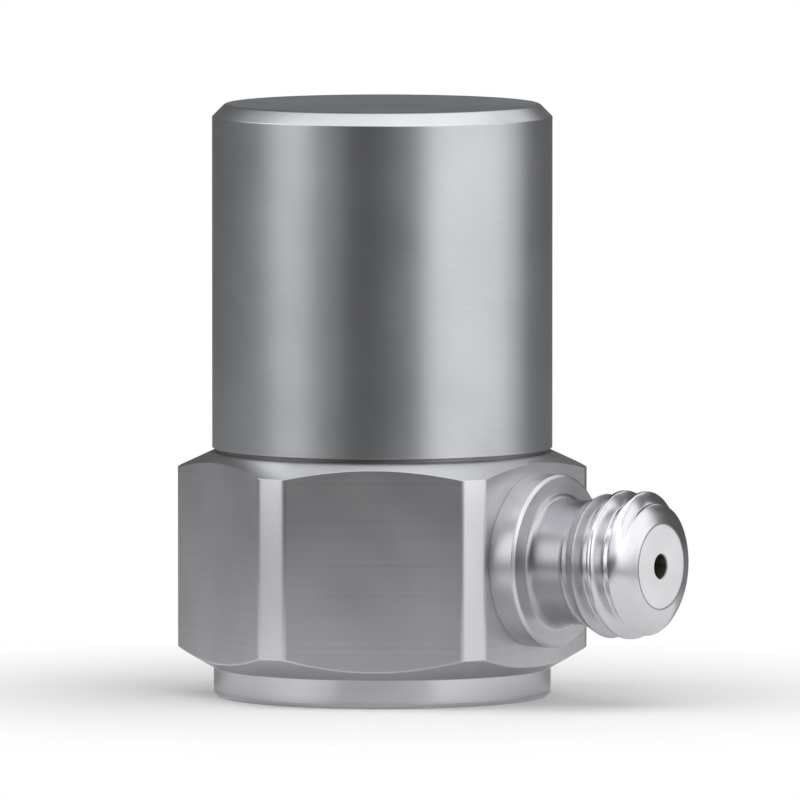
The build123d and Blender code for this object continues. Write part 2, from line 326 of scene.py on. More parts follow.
@dataclass(frozen=True)
class Finish:
    """What every finish has: a name, two tones and a roughness."""

    name: str
    light: str
    dark: str
    roughness: float

    def lead(
        self,
        tree: Tree,
        tone: tuple[Node, Span],
        gloss: tuple[Node, Span, float],
        relief: tuple[Node, float],
    ) -> tuple[Node, Node]:
        """Leads the patterns to the shader's colour, roughness and normal.

        Args:
            tree: The material's node tree.
            tone: The colour's pattern, and its values for the dark and the light tone.
            gloss: The roughness's pattern, its lowest and highest value, and how far it moves
                the roughness either way.
            relief: The height's pattern, and its height in mm.

        Returns:
            The nodes that give the colour and the roughness.
        """
        colour = add_node(tree, "ValToRGB", {0: tone[0]})
        for stop, position, code in zip(colour.color_ramp.elements, tone[1], (self.dark, self.light)):
            stop.position, stop.color = position, linear(code)
        low, high = gloss[1]
        least, most = self.roughness - gloss[2], self.roughness + gloss[2]
        spread = add_node(tree, "MapRange", {0: gloss[0], 1: low, 2: high, 3: least, 4: most})
        bump = add_node(tree, "Bump", {"Height": relief[0], "Strength": 1.0, "Distance": relief[1] * MM})
        feed(tree.nodes["Principled BSDF"], {"Base Color": colour, "Roughness": spread, "Normal": bump})
        return colour, spread

    def make(self) -> bpy.types.Material:
        """Builds the material, each finish in its own way."""
        raise NotImplementedError


class Lay(Enum):
    """The way that a tool's marks run on a metal surface."""

    ROUND_Z = "Z"
    ROUND_X = "X"
    ALONG = "along"


@dataclass(frozen=True)
class MachinedMetal(Finish):
    """A metal surface as the tool left it: fine marks, a soft gleam and faint blotches.

    Pitch, depth, blotch and grain are in mm. A metal with a shaded tone takes that darker tone as
    painted shade, and is rougher, up to the first station of its fade along X, in mm, and keeps its own
    colour from the last one on.
    """

    roughness_spread: float
    lay: Lay
    mark_pitch: float
    mark_depth: float
    anisotropy: float = 0.3
    shaded_tone: str = ""
    shade_fade: Span = (0.0, 0.0)
    blotch: float = 2.6
    grain: float = 0.12
    fine_share: float = 0.35
    radial_share: float = 0.7
    dull_roughness: float = 0.1
    tone_span: Span = (0.45, 0.9)
    gloss_span: Span = (0.6, 1.4)

    def across(self, tree: Tree) -> Node:
        """Measures across the marks.

        Round marks count a share of the radius too, so that they show on cones and end faces.

        Args:
            tree: The material's node tree.

        Returns:
            A node with the distance across the marks, counted in mark pitches.
        """
        place = add_node(tree, "TexCoord").outputs["Object"]
        axes = add_node(tree, "SeparateXYZ", {0: place})
        if self.lay is Lay.ALONG:
            way = axes.outputs["Z"]
        else:
            side, up, axial = ("X", "Y", "Z") if self.lay is Lay.ROUND_Z else ("Y", "Z", "X")
            lift = axes.outputs[up]
            if self.lay is Lay.ROUND_X:
                lift = reckon(tree, "SUBTRACT", lift, Jack.height * MM)
            flat = add_node(tree, "CombineXYZ", {0: axes.outputs[side], 1: lift, 2: 0.0})
            radius = add_node(tree, "VectorMath", {0: flat}, operation="LENGTH").outputs["Value"]
            way = reckon(tree, "MULTIPLY_ADD", radius, self.radial_share, axes.outputs[axial])
        return reckon(tree, "MULTIPLY", way, 1 / (self.mark_pitch * MM))

    def make(self) -> bpy.types.Material:
        """Builds the material, named for its metal and how the surface was made."""
        material, tree, shader = new_material(self.name)
        lines = {"W": self.across(tree), "Scale": 1.0, "Detail": 2.0, "Roughness": 0.6}
        marks = add_node(tree, "TexNoise", lines, noise_dimensions="1D")
        place = add_node(tree, "TexCoord").outputs["Object"]
        blotch = noise(tree, place, self.blotch, 3.0)
        grain = noise(tree, place, self.grain, 2.0, 0.7)
        tone = reckon(tree, "MULTIPLY_ADD", marks, self.fine_share, blotch)
        gloss = reckon(tree, "ADD", marks, blotch)
        relief = reckon(tree, "MULTIPLY_ADD", grain, self.fine_share, marks)
        wave = (gloss, self.gloss_span, self.roughness_spread)
        colour, roughness = self.lead(tree, (tone, self.tone_span), wave, (relief, self.mark_depth))
        # Painted shade: a darker tone behind a station along X, over the recessed neck.
        if self.shaded_tone:
            self.paint_rear_shade(tree, place, colour, roughness)
        axis = "X" if self.lay is Lay.ROUND_X else "Z"
        tangent = add_node(tree, "Tangent", direction_type="RADIAL", axis=axis)
        # A quarter turn spreads the gleam across the marks
        feed(shader, {"Anisotropic": self.anisotropy, "Anisotropic Rotation": 0.25, "Tangent": tangent})
        feed(shader, {"Metallic": 1.0})
        return material

    def paint_rear_shade(self, tree: Tree, place: Socket, colour: Node, roughness: Node) -> None:
        """Paints the metal darker, as painted shade, and makes it rougher, behind a station along X.

        Args:
            tree: The material's node tree.
            place: The object coordinates.
            colour: The metal's colour where no shade is painted.
            roughness: The metal's roughness there.
        """
        station = add_node(tree, "SeparateXYZ", {0: place}).outputs["X"]
        first, last = self.shade_fade
        run = {0: station, 1: first * MM, 2: last * MM, 3: 0.0, 4: 1.0}
        unshaded = add_node(tree, "MapRange", run, interpolation_type="SMOOTHSTEP")
        mixed = add_node(tree, "Mix", {0: unshaded, 6: linear(self.shaded_tone), 7: colour}, data_type="RGBA")
        softer = add_node(tree, "MapRange", {0: unshaded, 3: self.dull_roughness, 4: 0.0})
        total = reckon(tree, "ADD", roughness, softer)
        feed(tree.nodes["Principled BSDF"], {"Base Color": mixed.outputs[2], "Roughness": total})


@dataclass(frozen=True)
class PlainSolid(Finish):
    """A non-metal surface: a body colour with a faint mottle, fine relief and its own gloss.

    Grain and relief are in mm, and the mottle is counted in grains.
    """

    ior: float
    grain: float
    relief: float
    roughness_spread: float = 0.05
    transmission: float = 0.0
    mottle: float = 8
    grain_share: float = 0.5
    tone_span: Span = (0.5, 1.0)
    gloss_span: Span = (0.3, 0.7)

    def make(self) -> bpy.types.Material:
        """Builds the material, named for its substance and how the surface was made."""
        material, tree, shader = new_material(self.name)
        place = add_node(tree, "TexCoord").outputs["Object"]
        fine = noise(tree, place, self.grain, 3.0, 0.6)
        broad = noise(tree, place, self.mottle * self.grain, 2.0)
        both = reckon(tree, "MULTIPLY_ADD", fine, self.grain_share, broad)
        tone = (both, self.tone_span)
        self.lead(tree, tone, (broad, self.gloss_span, self.roughness_spread), (fine, self.relief))
        feed(shader, {"IOR": self.ior, "Transmission Weight": self.transmission})
        return material


# Austenitic stainless steel, finish turned and left satin: soft upright bands of light.
COVER_STEEL = MachinedMetal(
    "stainless_steel_satin_turned", "d0d2d4", "c6c8cb", 0.34, 0.02, Lay.ROUND_Z, 0.1, 0.00012
)
# The cover's top, faced across on the lathe: an even grey with rings too fine to see.
TOP_STEEL = MachinedMetal(
    "stainless_steel_satin_faced", "cdd3da", "c1c7ce", 0.38, 0.02, Lay.ROUND_Z, 0.1, 0.0001, 0.0
)
# The laser weld in the groove under the cover's rim: the groove's faces are painted dark and made rough, as
# painted shade in the groove.
GROOVE_SHADE_STEEL = MachinedMetal(
    "stainless_steel_groove_painted_shade", "9c9a9b", "807e81", 0.45, 0.05, Lay.ROUND_Z, 0.3, 0.002, 0.0
)
# The same steel on the base, turned with a sharper tool: a little brighter on the corner lands.
BASE_STEEL = MachinedMetal(
    "stainless_steel_fine_turned", "d8d8db", "cbccd0", 0.34, 0.02, Lay.ROUND_Z, 0.08, 0.0002
)
# The wrench flats, milled along their width: dull, with faint level marks.
FLAT_STEEL = MachinedMetal(
    "stainless_steel_milled", "cfcfd2", "c1c1c5", 0.4, 0.02, Lay.ALONG, 0.14, 0.00012, 0.0
)
# The jack, turned bright: clear highlights on the crests and the nose. The neck and the first turn
# behind them are rougher, and painted darker as painted shade where they lie recessed between flange and
# thread.
JACK_STEEL = MachinedMetal(
    "stainless_steel_bright_turned", "d8d8db", "ccccd0", 0.24, 0.02, Lay.ROUND_X, 0.06, 0.0001,
    # The darker tone and its fade along X below are painted shade on the neck and the first turn.
    shaded_tone="b2b2b6", shade_fade=(8.7, 9.35),
)
# The jack's flange, turned but not polished: softer and greyer than the thread.
FLANGE_STEEL = MachinedMetal(
    "stainless_steel_flange_turned", "d8d8db", "c8c8cb", 0.36, 0.03, Lay.ROUND_X, 0.08, 0.0002
)


# The sensor's pieces


@dataclass
class HousingBase:
    """The one-piece base: foot, wrench hexagon and cover spigot."""

    # The hexagon, with the turned lands at its corners
    apothem: float = 6.0
    sides: int = 6
    land_width: float = 0.9575
    land_height: float = 5.865
    jack_flat_depth: float = 0.07
    lower_slope: float = math.tan(math.radians(30))
    upper_slope: float = math.tan(math.radians(25))
    # The foot, the cover's seat and the spigot
    foot_radius: float = 5.5
    foot_height: float = 0.92
    foot_break: float = 0.12
    cover_radius: float = 5.55
    spigot_radius: float = 5.07
    spigot_height: float = 1.2
    pocket_radius: float = 4.57
    pocket_depth: float = 0.7
    # The tapped hole
    hole_radius: float = 2.425
    hole_countersink: float = 0.25
    hole_thread_end: float = 3.4
    hole_thread_depth: float = 0.35
    hole_end: float = 3.9
    drill_radius: float = 2.023
    # The bores for the jack, its wire and the clamp screw, and how far the drills run past them
    port_radius: float = 1.92
    port_end: float = 3.55
    port_overrun: float = 1.0
    wire_hole_radius: float = 0.35
    wire_hole_place: float = 4.2
    screw_radius: float = 0.8
    screw_depth: float = 2.0
    overrun: float = 0.5
    # The rounding of each edge
    mouth_round: float = 0.02
    foot_round: float = 0.03
    foot_root_round: float = 0.04
    lower_round: float = 0.07
    upper_round: float = 0.02
    seat_round: float = 0.015
    spigot_root_round: float = 0.02
    spigot_round: float = 0.05
    corner_round: float = 0.1
    # How finely the outline and the thread are divided
    flat_steps: int = 24
    land_steps: int = 10
    bend_steps: int = 6
    turn_step: float = 0.035

    def plan(self) -> list[Vector]:
        """Draws the hexagon from above, with its turned lands and softened corners.

        Returns:
            The outline's points in mm, anticlockwise.
        """
        sixth = 360 / self.sides
        reach = (self.apothem - self.land_width) * math.tan(math.radians(sixth / 2))
        land_radius = math.hypot(self.apothem, reach)
        flats = [self.apothem - self.jack_flat_depth] + [self.apothem] * (self.sides - 1)
        edges = [math.acos(flat / land_radius) for flat in flats]
        cut = self.corner_round
        outline: list[Vector] = []
        for side, (flat, edge) in enumerate(zip(flats, edges)):
            turn = Matrix.Rotation(math.radians(sixth * side), 2)
            half = land_radius * math.sin(edge)
            shares = (2 * i / self.flat_steps - 1 for i in range(self.flat_steps + 1))
            outline += [turn @ Vector((flat, (half - cut) * share)) for share in shares]
            outline += [turn @ p for p in self.softened(flat, half, land_radius)]
            first = edge + cut / land_radius
            last = math.radians(sixth) - edges[(side + 1) % self.sides] - cut / land_radius
            for i in range(1, self.land_steps):
                angle = first + (last - first) * i / self.land_steps
                outline.append(turn @ polar(land_radius, angle, 0).xy)
            following = flats[(side + 1) % self.sides]
            ahead = Matrix.Rotation(math.radians(sixth * (side + 1)), 2)
            bend = self.softened(following, math.sqrt(land_radius**2 - following**2), land_radius)
            outline += [ahead @ Vector((p.x, -p.y)) for p in reversed(bend)]
        return outline

    def softened(self, flat: float, half: float, land_radius: float) -> list[Vector]:
        """Rounds one edge between a flat and its land.

        Args:
            flat: The distance of the flat from the axis.
            half: Half of the flat's width.
            land_radius: The radius of the turned land.

        Returns:
            The points from just past the flat to the land.
        """
        cut = self.corner_round
        turn = math.asin(half / land_radius) + cut / land_radius
        start = Vector((flat, half - cut))
        corner = Vector((flat, half))
        end = polar(land_radius, turn, 0).xy
        shares = (i / self.bend_steps for i in range(1, self.bend_steps + 1))
        return [start * (1 - t) ** 2 + corner * 2 * t * (1 - t) + end * t**2 for t in shares]

    def column(self, reach: float, seat: float) -> list[Point]:
        """Draws the base's outline in one direction.

        Args:
            reach: How far the hexagon reaches that way.
            seat: The height of the cover's seat.

        Returns:
            The outline from the hole's end out and up to the pocket's floor.
        """
        low = self.foot_height + (reach - self.foot_radius) * self.lower_slope
        high = seat - (reach - self.cover_radius) * self.upper_slope
        corners = [
            (0.0, self.hole_end, 0),
            (self.drill_radius, self.hole_end, 0),
            (self.drill_radius, self.hole_thread_end, 0),
            (self.hole_radius, self.hole_thread_end, 0),
            (self.hole_radius, self.hole_countersink, 0),
            (self.hole_radius + self.hole_countersink, 0.0, self.mouth_round),
            (self.foot_radius - self.foot_break, 0.0, self.foot_round),
            (self.foot_radius, self.foot_break, self.foot_round),
            (self.foot_radius, self.foot_height, self.foot_root_round),
            (reach, low, self.lower_round),
            (reach, high, self.upper_round),
            (self.cover_radius, seat, self.seat_round),
            (self.spigot_radius, seat, self.spigot_root_round),
            (self.spigot_radius, seat + self.spigot_height, self.spigot_round),
            (self.pocket_radius, seat + self.spigot_height, self.spigot_round),
            (self.pocket_radius, seat - self.pocket_depth, self.spigot_round),
            (0.0, seat - self.pocket_depth, 0),
        ]
        return rounded(corners)

    def drills(self, floor: float) -> list[BMesh]:
        """Makes the drills for the jack's port, its wire and the screw in the pocket's floor."""
        across = Matrix.Rotation(math.radians(90), 4, "Y")
        port = drill(self.port_radius, self.apothem + self.port_overrun - self.port_end)
        port.transform(Matrix.Translation((self.port_end, 0, Jack.height)) @ across)
        wire = drill(self.wire_hole_radius, floor + self.overrun - Jack.height, segments=32)
        wire.transform(Matrix.Translation((self.wire_hole_place, 0, Jack.height)))
        screw = drill(self.screw_radius, self.screw_depth + self.overrun, segments=48)
        screw.transform(Matrix.Translation((0, 0, floor - self.screw_depth)))
        return [port, wire, screw]

    def build(self) -> Object:
        """Builds the base with its bores and the turns of its mounting thread."""
        plan = self.plan()
        angles = [math.atan2(p.y, p.x) for p in plan]
        reaches = [p.length for p in plan]
        land_radius = max(reaches)
        land_bottom = self.foot_height + (land_radius - self.foot_radius) * self.lower_slope
        land_top = land_bottom + self.land_height
        seat = land_top + (land_radius - self.cover_radius) * self.upper_slope
        thread = Thread(self.hole_radius, self.hole_thread_depth, inward=True)
        rings: list[list[Vector]] = []
        for points in zip(*(self.column(reach, seat) for reach in reaches)):
            if points[0][0] == 0:
                rings.append([Vector((0, 0, points[0][1]))])
                continue
            rings.append([polar(r, a, z) for (r, z), a in zip(points, angles)])
            if points[0] == (self.hole_radius, self.hole_thread_end):
                levels = stepped((0, self.hole_thread_end), (0, self.hole_countersink), self.turn_step)
                for _, z in levels[1:]:
                    rings.append([polar(thread.radius(self.hole_radius, z, a), a, z) for a in angles])
        bm = bmesh.new()
        ring_grid(bm, rings)
        solid = bored(bm, self.drills(seat - self.pocket_depth))
        piece = new_piece("housing_base_machined", solid, (BASE_STEEL, FLAT_STEEL))
        self.dress(piece)
        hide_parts("housing_base")
        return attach(piece, "root")

    def dress(self, piece: Object) -> None:
        """Gives the base's flats a milled finish and the rest a turned one."""
        sixth = 360 / self.sides
        steepest, most_turned, outermost = 0.02, 0.4, self.apothem - 0.1
        for face in piece.data.polygons:
            centre, normal = face.center / MM, face.normal
            bearing = math.degrees(math.atan2(normal.y, normal.x))
            turn = (bearing + sixth / 2) % sixth - sixth / 2
            outward = centre.x * normal.x + centre.y * normal.y
            if abs(normal.z) < steepest and abs(turn) < most_turned and outward > outermost:
                face.material_index = 1


@dataclass
class Thread:
    """The turns of a 10-32 thread, as what they take off or add to a plain wall."""

    major: float = 2.413
    depth: float = 0.39
    phase: float = 0.0
    inward: bool = False
    pitch: float = 25.4 / 32
    crest: float = 0.05
    flank: float = 0.26
    straight: float = 0.65
    curved: float = 0.35
    blend: float = 0.03

    def radius(self, wall: float, station: float, angle: float) -> float:
        """Gives the radius of the threaded wall.

        Args:
            wall: The plain wall's radius there.
            station: The distance along the axis.
            angle: The angle round the axis, in radians.

        Returns:
            The radius with the thread's turns.
        """
        turn = (station - self.phase) / self.pitch - angle / math.tau
        away = abs(turn - round(turn)) * self.pitch
        share = min(max((away - self.crest) / self.flank, 0.0), 1.0)
        drop = self.depth * (self.straight * share + self.curved * share * share * (3 - 2 * share))
        if self.inward:
            return wall - (self.depth - drop)
        cut = self.major - drop
        near = max(self.blend - abs(wall - cut), 0.0) / self.blend
        return min(wall, cut) - near * near * self.blend / 4


@dataclass
class CaseCover:
    """The closed cup over the sensing element."""

    radius: float = 5.55
    bore_radius: float = 5.1
    bottom: float = 7.984
    top: float = 19.3336
    chamfer: float = 0.42
    groove_height: float = 0.125
    groove_depth: float = 0.12
    top_thickness: float = 0.6
    rim_width: float = 0.05
    foot_round: float = 0.01
    groove_round: float = 0.02
    edge_round: float = 0.04
    rim_round: float = 0.2
    ceiling_round: float = 0.15

    def build(self) -> Object:
        """Builds the cover with the edges of its chamfer rounded over."""
        groove_top, ceiling = self.bottom + self.groove_height, self.top - self.top_thickness
        corners = [
            (self.bore_radius, self.bottom, 0),
            (self.radius - self.groove_depth, self.bottom, self.foot_round),
            (self.radius - self.groove_depth, groove_top, self.groove_round),
            (self.radius, groove_top, self.groove_round),
            (self.radius, self.top - self.chamfer, self.edge_round),
            (self.radius - self.chamfer, self.top, self.rim_round),
            (0.0, self.top, 0),
            (0.0, ceiling, 0),
            (self.bore_radius, ceiling, self.ceiling_round),
            (self.bore_radius, self.bottom + self.rim_width, 0),
        ]
        bm = spun(rounded(corners, steps=8))
        piece = new_piece("case_cover_turned", bm, (COVER_STEEL, TOP_STEEL, GROOVE_SHADE_STEEL))
        margin, level = 0.01, 0.99
        for face in piece.data.polygons:
            centre = face.center / MM
            inside = math.hypot(centre.x, centre.y) < self.radius - margin
            # The groove's inner faces take the dark tone, painted shade in the groove.
            shaded_groove = inside and centre.z < groove_top + margin
            face.material_index = 2 if shaded_groove else 1 if face.normal.z > level else 0
        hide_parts("case_cover")
        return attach(piece, "root")


@dataclass
class Jack:
    """The coaxial jack's turned shell, with its thread. Lengths are counted from its flat."""

    height: float = 4.6585
    flat: float = 5.93
    flange_radius: float = 2.82
    flange_thickness: float = 0.93
    flange_break: float = 0.09
    neck_radius: float = 2.023
    neck_end: float = 2.15
    neck_fillet: float = 0.25
    relief_width: float = 0.2
    thread_radius: float = 2.413
    thread_lead_in: float = 0.85
    thread_end: float = 4.2
    shoulder: float = 4.63
    shoulder_radius: float = 2.13
    nose: float = 4.82
    nose_round: float = 1.3
    nose_radius: float = 1.43
    bore_radius: float = 1.37
    bore_end: float = 1.0
    plug_radius: float = 1.9
    seal_radius: float = 1.15
    plug_end: float = -0.98
    plug_round: float = 0.06
    root_round: float = 0.02
    edge_round: float = 0.03
    # Where the crest stands after its share of a turn
    crest_station: float = 3.546
    crest_turn: float = 0.75
    segments: int = 224
    wall_step: float = 0.022

    def build(self) -> Object:
        """Builds the shell from its plug to its nose."""
        relief, margin = self.neck_end - self.relief_width, 0.01
        plug = [
            (self.seal_radius, self.plug_end, 0),
            (self.plug_radius, self.plug_end, self.plug_round),
            (self.plug_radius, 0.0, 0),
            (self.flange_radius, 0.0, self.root_round),
            (self.flange_radius, self.flange_thickness - self.flange_break, self.edge_round),
            (self.flange_radius - self.flange_break, self.flange_thickness, self.edge_round),
            (self.neck_radius, self.flange_thickness, self.neck_fillet),
            (self.neck_radius, relief, 0),
        ]
        barrel = [
            (self.neck_radius, relief, 0),
            (self.neck_radius, self.neck_end, 0),
            (self.thread_radius, self.neck_end + self.thread_lead_in, 0),
            (self.thread_radius, self.thread_end, 0),
            (self.shoulder_radius, self.shoulder, self.nose_round),
            (self.nose_radius, self.nose, 0),
        ]
        points = rounded(barrel, steps=24)
        walls = [p for start, end in zip(points, points[1:]) for p in stepped(start, end, self.wall_step)]
        mouth = [(self.nose_radius, self.nose), (self.bore_radius, self.nose)]
        bore = [(self.bore_radius, self.bore_end), (self.seal_radius, self.bore_end)]
        thread = Thread(self.thread_radius, phase=self.crest_station - self.crest_turn * Thread.pitch)

        def trim(radius: float, station: float, angle: float) -> float:
            """Cuts the thread into the barrel and leaves the rest plain."""
            if station < relief or radius <= self.bore_radius + margin:
                return radius
            return thread.radius(radius, station, angle)

        bm = spun(rounded(plug, steps=6)[:-1] + walls + mouth + bore, self.segments, trim)
        place = Matrix.Translation((self.flat, 0, self.height)) @ Matrix.Rotation(math.radians(90), 4, "Y")
        piece = new_piece("connector_shell_threaded", bm, (JACK_STEEL, FLANGE_STEEL), place, crease=50)
        for face in piece.data.polygons:
            station = face.center.x / MM - self.flat
            face.material_index = 1 if station < self.flange_thickness + margin else 0
        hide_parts("connector_shell")
        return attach(piece, "root")


# The pieces that keep their CAD shape

# Polytetrafluoroethylene, turned from rod: waxy, slightly translucent white.
PTFE_TURNED = PlainSolid("ptfe_machined", "dedee0", "d3d3d6", 0.42, 1.35, 0.15, 0.001)
# Dull nickel over beryllium copper: a grey that goes dark down the contact's bore.
NICKEL_PLATE = MachinedMetal(
    "nickel_plated_dull", "9a958c", "848078", 0.36, 0.04, Lay.ROUND_X, 0.05, 0.0003
)
# Fused sealing glass: a glossy grey-green bead round the pin.
SEALING_GLASS = PlainSolid("glass_fused", "a9bfb6", "93aca2", 0.08, 1.52, 0.4, 0.0005, 0.03, 0.7)
# Sintered aluminium oxide, lapped: ivory white with a fine dry grain.
ALUMINA = PlainSolid("alumina_lapped", "f1eee4", "e4dfd2", 0.5, 1.76, 0.1, 0.002)
# Ground steel of the post: fine rings and a clear sheen.
POST_STEEL = MachinedMetal(
    "stainless_steel_ground", "c6c6c6", "b4b4b6", 0.28, 0.03, Lay.ROUND_Z, 0.07, 0.0003
)
# The shrunk ring's titanium alloy, turned: a warmer and softer grey.
RING_ALLOY = MachinedMetal(
    "titanium_alloy_turned", "b5b0aa", "a19c97", 0.38, 0.04, Lay.ROUND_Z, 0.1, 0.0006
)
# Hardened screw steel with a thin oxide: dark, oily grey.
SCREW_STEEL = MachinedMetal(
    "screw_steel_oxidised", "716f6d", "545250", 0.42, 0.05, Lay.ROUND_Z, 0.12, 0.0008
)
# Polyether ether ketone, turned from rod: opaque tan with fine tool rings lost in its grain.
PEEK_TURNED = PlainSolid("peek_machined", "c8b085", "b79d70", 0.45, 1.65, 0.12, 0.002)
# Woven glass laminate under green solder mask: glossy, a little uneven over the weave.
MASKED_LAMINATE = PlainSolid("fr4_solder_masked", "2c7149", "1d5535", 0.28, 1.55, 0.35, 0.004)
# Moulded epoxy with quartz filler: matt black with a sandy grain.
MOULDED_EPOXY = PlainSolid("epoxy_moulded", "2b2b2c", "1c1c1d", 0.55, 1.55, 0.06, 0.004)
# Lapped lead zirconate titanate, poled and bare: sandy cream, dry to the eye.
PIEZO_CERAMIC = PlainSolid("piezo_ceramic_lapped", "cdbd98", "b9a781", 0.55, 2.3, 0.08, 0.002)
# Sintered tungsten alloy, wire-cut: heavy dark grey with a peppered sparkle.
TUNGSTEN_ALLOY = MachinedMetal(
    "tungsten_alloy_wire_cut", "8f8f93", "77777b", 0.45, 0.06, Lay.ALONG, 0.05, 0.002, 0.0
)
# Extruded fluoropolymer jackets of the three leads: smooth, a little waxy.
RED_JACKET = PlainSolid("fluoropolymer_red_extruded", "ab2a24", "8f1f1b", 0.35, 1.38, 0.2, 0.001)
BLACK_JACKET = PlainSolid("fluoropolymer_black_extruded", "272728", "19191a", 0.35, 1.38, 0.2, 0.001)
WHITE_JACKET = PlainSolid("fluoropolymer_white_extruded", "e8e7e2", "dad9d2", 0.35, 1.38, 0.2, 0.001)
# Barium titanate, the capacitor's body, fired: a dry brown.
CAPACITOR_BODY = PlainSolid("barium_titanate_fired", "b08d62", "96734a", 0.5, 2.0, 0.08, 0.002)
# The glaze fired over the resistors: a smooth, half glossy black.
RESISTOR_BODY = PlainSolid("resistor_glaze_fired", "303032", "202022", 0.3, 1.5, 0.1, 0.001)
# The chip parts' ends, dipped in tin: bright and a little uneven.
TINNED_END = MachinedMetal("tin_dipped", "d6d6d2", "bcbcb8", 0.3, 0.06, Lay.ALONG, 0.2, 0.003, 0.0)


@dataclass
class KeptNodes:
    """A sub-assembly of CAD nodes whose shapes stay, with the finish that each one gets."""

    title: str
    finishes: dict[str, Finish]
    tinned: dict[str, float] = field(default_factory=dict)

    def dress(self) -> None:
        """Puts each finish on its nodes and reports them."""
        for name, finish in self.finishes.items():
            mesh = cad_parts[name].data
            mesh.materials.clear()
            mesh.materials.append(bpy.data.materials.get(finish.name) or finish.make())
            if name in self.tinned:
                self.tin(mesh, self.tinned[name])
            log.info("%s: %s keeps its shape and gets %s", self.title, name, finish.name)

    def tin(self, mesh: bpy.types.Mesh, band: float) -> None:
        """Gives a chip part its metal ends.

        Args:
            mesh: The part's mesh, whose length runs along X.
            band: The length of each end in mm.
        """
        slack = 1e-5
        mesh.materials.append(bpy.data.materials.get(TINNED_END.name) or TINNED_END.make())
        stations = [vertex.co.x for vertex in mesh.vertices]
        low, high = min(stations) + band * MM, max(stations) - band * MM
        for face in mesh.polygons:
            face.material_index = 1 if face.center.x < low + slack or face.center.x > high - slack else 0


JACK_INSERT = KeptNodes(
    "jack insert",
    {"connector_insulator": PTFE_TURNED, "contact_socket": NICKEL_PLATE, "glass_seal": SEALING_GLASS},
)
SENSING_ELEMENT = KeptNodes(
    "sensing element",
    {
        "insulation_disc": ALUMINA,
        "centre_post": POST_STEEL,
        "preload_ring": RING_ALLOY,
        "clamp_screw": SCREW_STEEL,
        **{f"piezo_plate_{i}": PIEZO_CERAMIC for i in (1, 2, 3)},
        **{f"seismic_mass_{i}": TUNGSTEN_ALLOY for i in (1, 2, 3)},
    },
)
AMPLIFIER = KeptNodes(
    "amplifier",
    {
        "board_spacer": PEEK_TURNED,
        "amplifier_board": MASKED_LAMINATE,
        "amplifier_chip": MOULDED_EPOXY,
        "feedback_capacitor": CAPACITOR_BODY,
        "bias_resistor_1": RESISTOR_BODY,
        "bias_resistor_2": RESISTOR_BODY,
        "output_lead": RED_JACKET,
        "ground_lead": BLACK_JACKET,
        "charge_lead": WHITE_JACKET,
    },
    tinned=dict.fromkeys(("feedback_capacitor", "bias_resistor_1", "bias_resistor_2"), 0.3),
)


# The studio, with bearings in degrees to the camera's right and lengths in mm


@dataclass(frozen=True)
class Viewpoint:
    """Where the camera stands, as the photograph shows the sensor."""

    azimuth: float = 32.77
    elevation: float = 4.16
    distance: float = 695.8
    aim_height: float = 9.64
    aim_right: float = 0.578
    field_width: float = 26.1
    film_width: float = 36.0

    def right(self) -> Vector:
        """The level direction to the camera's right."""
        a = math.radians(self.azimuth)
        return Vector((math.cos(a), math.sin(a), 0))

    def bearing(self, degrees: float, elevation: float = 0.0) -> Vector:
        """Gives a direction from the sensor by its bearing from the camera.

        Args:
            degrees: The angle to the camera's right, from the camera itself.
            elevation: The angle above the floor.

        Returns:
            A unit vector in the frame.
        """
        a, e = math.radians(self.azimuth + degrees), math.radians(elevation)
        return Vector((math.sin(a) * math.cos(e), -math.cos(a) * math.cos(e), math.sin(e)))

    def sight(self, point: Vector) -> tuple[float, float]:
        """Gives the bearing from the camera and the elevation of a point, both in degrees."""
        bearing = math.degrees(math.atan2(point.x, -point.y)) - self.azimuth
        return bearing, math.degrees(math.atan2(point.z, math.hypot(point.x, point.y)))

    def build(self) -> Object:
        """Sets up the camera and makes it the scene's own."""
        data = bpy.data.cameras.new("camera")
        data.sensor_width = self.film_width
        data.lens = self.film_width * self.distance / self.field_width
        data.clip_start, data.clip_end = 0.01, 5.0
        camera = bpy.data.objects.new("camera", data)
        bpy.context.scene.collection.objects.link(camera)
        back = self.bearing(0.0, self.elevation)
        aim = Vector((0, 0, self.aim_height)) + self.right() * self.aim_right
        camera.location = (aim + back * self.distance) * MM
        camera.rotation_mode = "QUATERNION"
        camera.rotation_quaternion = (-back).to_track_quat("-Z", "Y")
        bpy.context.scene.camera = camera
        return camera


VIEW = Viewpoint()


@dataclass(frozen=True)
class TentLamp:
    """One lamp behind the tent's cloth, and the soft patch that it lights."""

    bearing: float
    half_width: float
    low: float
    high: float
    strength: float
    fade: float = 12.0

    def glow(self, bearing: float, elevation: float) -> float:
        """Gives the light that this lamp sends through one place of the cloth.

        Args:
            bearing: The angle to the camera's right, in degrees.
            elevation: The angle above the floor, in degrees.

        Returns:
            The lamp's full strength inside its patch, falling to 0 round it.
        """
        aside = abs((bearing - self.bearing + 180) % 360 - 180)
        gaps = (self.half_width - aside, elevation - self.low, self.high - elevation)
        shares = [min(max(gap / self.fade + 0.5, 0.0), 1.0) for gap in gaps]
        return self.strength * math.prod(s * s * (3 - 2 * s) for s in shares)


